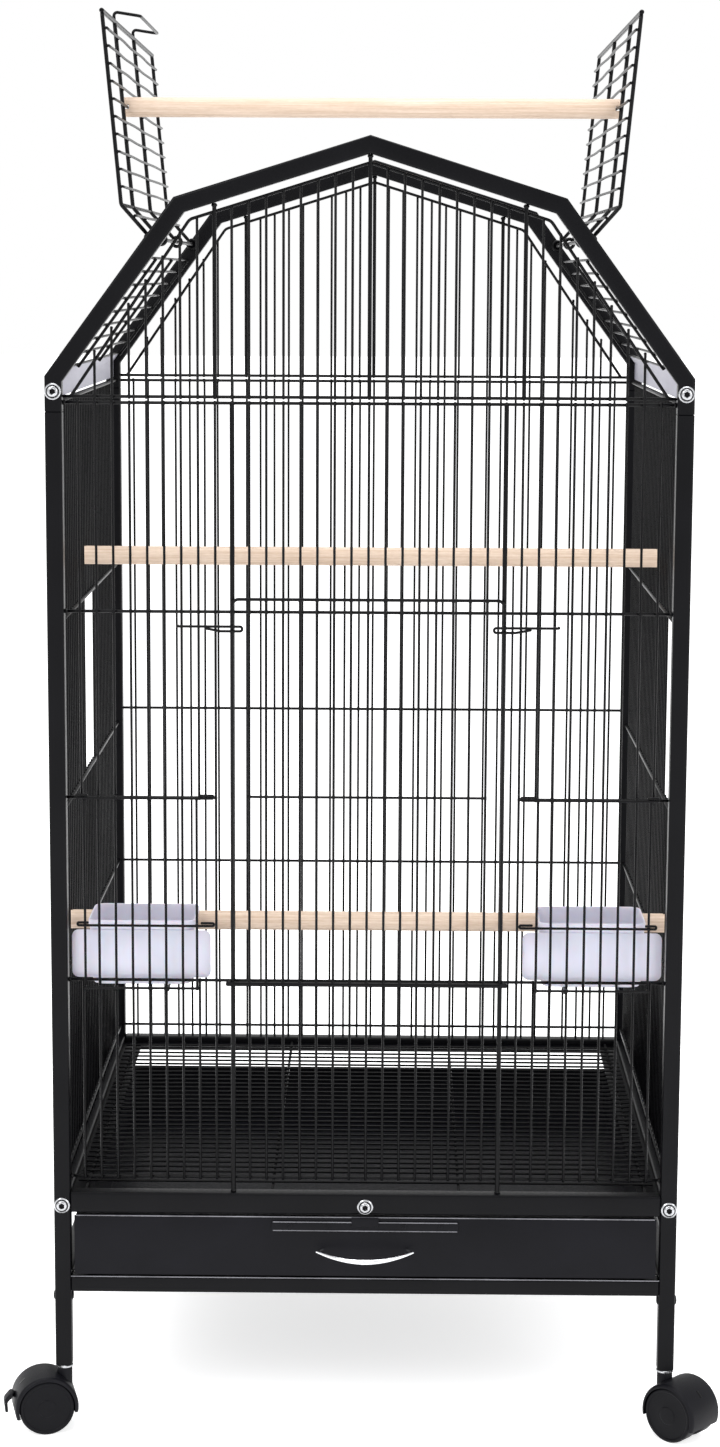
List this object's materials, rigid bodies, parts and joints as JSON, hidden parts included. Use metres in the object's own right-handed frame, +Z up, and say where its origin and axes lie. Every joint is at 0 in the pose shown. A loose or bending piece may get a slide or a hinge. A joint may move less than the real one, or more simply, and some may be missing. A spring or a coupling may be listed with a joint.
{
  "type": "bird cage on stand",
  "caption": "Tall square wire bird cage with an open gambrel roof, wooden perches, lift-up doors, feeder cups and a pull-out tray, on short legs with twin-wheel casters.",
  "frame": {"origin": "on the floor, under the middle of the whole object's bounding box", "axes": "+Z up, -Y towards the front with the main door, +X to the right"},
  "size_m": [0.5626, 0.5482, 1.0907],
  "materials": {
    "frame_coating": "satin black powder coating on square steel tube",
    "wire_coating": "satin black powder coating on welded steel wire",
    "tray_coating": "satin black coated sheet steel",
    "eave_coating": "pale lavender-grey coated steel strip",
    "perch_wood": "pale planed hardwood dowel, unvarnished",
    "cup_plastic": "translucent lavender-grey moulded plastic",
    "caster_nylon": "black moulded nylon",
    "wheel_nylon": "black hard nylon",
    "handle_chrome": "polished chrome plating",
    "bolt_steel": "bright zinc-plated steel",
    "plug_plastic": "black moulded socket inside the tube"
  },
  "bodies": {
    "cage": {"caster_rings": "bolt_steel", "cup_rests": "wire_coating", "door_guides": "wire_coating", "drawer_runners": "frame_coating", "frame_bolts": "bolt_steel", "front_gable_panel": "wire_coating", "front_left_post": "frame_coating", "front_lower_rail": "frame_coating", "front_panel": "wire_coating", "front_right_post": "frame_coating", "front_roof_frame": "frame_coating", "front_upper_rail": "frame_coating", "grate_ledges": "frame_coating", "hinge_rods": "wire_coating", "left_eave_strip": "eave_coating", "left_lower_rail": "frame_coating", "left_side_panel": "wire_coating", "left_slope_panel": "wire_coating", "left_upper_rail": "frame_coating", "leg_plugs": "plug_plastic", "leg_screws": "bolt_steel", "lower_perch": "perch_wood", "middle_perch": "perch_wood", "rear_gable_panel": "wire_coating", "rear_left_post": "frame_coating", "rear_lower_rail": "frame_coating", "rear_panel": "wire_coating", "rear_right_post": "frame_coating", "rear_roof_frame": "frame_coating", "rear_upper_rail": "frame_coating", "right_eave_strip": "eave_coating", "right_lower_rail": "frame_coating", "right_side_panel": "wire_coating", "right_slope_panel": "wire_coating", "right_upper_rail": "frame_coating"},
    "left_lid": {"left_lid": "wire_coating", "lid_hook": "wire_coating"},
    "right_lid": {"right_lid": "wire_coating"},
    "top_perch": {"top_perch": "perch_wood"},
    "main_door": {"main_door": "wire_coating"},
    "left_feeder_door": {"left_feeder_door": "wire_coating"},
    "right_feeder_door": {"right_feeder_door": "wire_coating"},
    "left_nest_door": {"left_nest_door": "wire_coating"},
    "right_nest_door": {"right_nest_door": "wire_coating"},
    "left_cup": {"left_cup": "cup_plastic"},
    "right_cup": {"right_cup": "cup_plastic"},
    "floor_grate": {"floor_grate": "wire_coating"},
    "drawer": {"drawer": "tray_coating", "drawer_handle": "handle_chrome", "handle_screws": "bolt_steel"},
    "front_left_caster": {"front_left_caster": "caster_nylon"},
    "front_left_wheels": {"front_left_wheels": "wheel_nylon"},
    "front_left_brake": {"front_left_brake": "caster_nylon"},
    "front_right_caster": {"front_right_caster": "caster_nylon"},
    "front_right_wheels": {"front_right_wheels": "wheel_nylon"},
    "rear_right_caster": {"rear_right_caster": "caster_nylon"},
    "rear_right_wheels": {"rear_right_wheels": "wheel_nylon"},
    "rear_right_brake": {"rear_right_brake": "caster_nylon"},
    "rear_left_caster": {"rear_left_caster": "caster_nylon"},
    "rear_left_wheels": {"rear_left_wheels": "wheel_nylon"}
  },
  "joints": [
    {"name": "left_lid_hinge", "type": "hinge", "parent": "cage", "child": "left_lid", "pos_m": [-0.16203, 0, 0.91643], "axis": [0, 1, 0], "range_deg": [0, 78]},
    {"name": "right_lid_hinge", "type": "hinge", "parent": "cage", "child": "right_lid", "pos_m": [0.16203, 0, 0.91643], "axis": [0, -1, 0], "range_deg": [0, 78]},
    {"name": "top_perch_lift", "type": "slide", "parent": "cage", "child": "top_perch", "axis": [0, 0, 1], "range_m": [0, 1.03]},
    {"name": "main_door_lift", "type": "slide", "parent": "cage", "child": "main_door", "axis": [0, 0, 1], "range_m": [0, 0.262]},
    {"name": "left_feeder_door_lift", "type": "slide", "parent": "cage", "child": "left_feeder_door", "axis": [0, 0, 1], "range_m": [0, 0.12]},
    {"name": "right_feeder_door_lift", "type": "slide", "parent": "cage", "child": "right_feeder_door", "axis": [0, 0, 1], "range_m": [0, 0.12]},
    {"name": "left_nest_door_drop", "type": "slide", "parent": "cage", "child": "left_nest_door", "axis": [0, 0, 1], "range_m": [-0.145, 0]},
    {"name": "right_nest_door_drop", "type": "slide", "parent": "cage", "child": "right_nest_door", "axis": [0, 0, 1], "range_m": [-0.145, 0]},
    {"name": "left_cup_lift", "type": "slide", "parent": "cage", "child": "left_cup", "axis": [0, 0, 1], "range_m": [0, 0.05]},
    {"name": "right_cup_lift", "type": "slide", "parent": "cage", "child": "right_cup", "axis": [0, 0, 1], "range_m": [0, 0.05]},
    {"name": "grate_lift", "type": "slide", "parent": "cage", "child": "floor_grate", "axis": [0, 0, 1], "range_m": [0, 0.1]},
    {"name": "drawer_slide", "type": "slide", "parent": "cage", "child": "drawer", "axis": [0, -1, 0], "range_m": [0, 0.4]},
    {"name": "front_left_swivel", "type": "hinge", "parent": "cage", "child": "front_left_caster", "pos_m": [-0.23365, -0.23365, 0.05], "axis": [0, 0, 1], "continuous": true},
    {"name": "front_left_roll", "type": "hinge", "parent": "front_left_caster", "child": "front_left_wheels", "pos_m": [-0.24904, -0.2372, 0.0215], "axis": [0.225, -0.9744, 0], "continuous": true},
    {"name": "front_left_brake_pedal", "type": "hinge", "parent": "front_left_caster", "child": "front_left_brake", "pos_m": [-0.27136, -0.24236, 0.0285], "axis": [0.225, -0.9744, 0], "range_deg": [0, 6]},
    {"name": "front_right_swivel", "type": "hinge", "parent": "cage", "child": "front_right_caster", "pos_m": [0.23365, -0.23365, 0.05], "axis": [0, 0, 1], "continuous": true},
    {"name": "front_right_roll", "type": "hinge", "parent": "front_right_caster", "child": "front_right_wheels", "pos_m": [0.24539, -0.24422, 0.0215], "axis": [0.6691, 0.7431, 0], "continuous": true},
    {"name": "rear_right_swivel", "type": "hinge", "parent": "cage", "child": "rear_right_caster", "pos_m": [0.23365, 0.23365, 0.05], "axis": [0, 0, 1], "continuous": true},
    {"name": "rear_right_roll", "type": "hinge", "parent": "rear_right_caster", "child": "rear_right_wheels", "pos_m": [0.24904, 0.2372, 0.0215], "axis": [-0.225, 0.9744, 0], "continuous": true},
    {"name": "rear_right_brake_pedal", "type": "hinge", "parent": "rear_right_caster", "child": "rear_right_brake", "pos_m": [0.27136, 0.24236, 0.0285], "axis": [-0.225, 0.9744, 0], "range_deg": [0, 6]},
    {"name": "rear_left_swivel", "type": "hinge", "parent": "cage", "child": "rear_left_caster", "pos_m": [-0.23365, 0.23365, 0.05], "axis": [0, 0, 1], "continuous": true},
    {"name": "rear_left_roll", "type": "hinge", "parent": "rear_left_caster", "child": "rear_left_wheels", "pos_m": [-0.24539, 0.24422, 0.0215], "axis": [-0.6691, -0.7431, 0], "continuous": true}
  ],
  "couplings": [
    {"joint": "right_lid_hinge", "follows": "left_lid_hinge", "ratio": 1},
    {"joint": "top_perch_lift", "follows": "left_lid_hinge", "m_per_rad": 0.75}
  ]
}
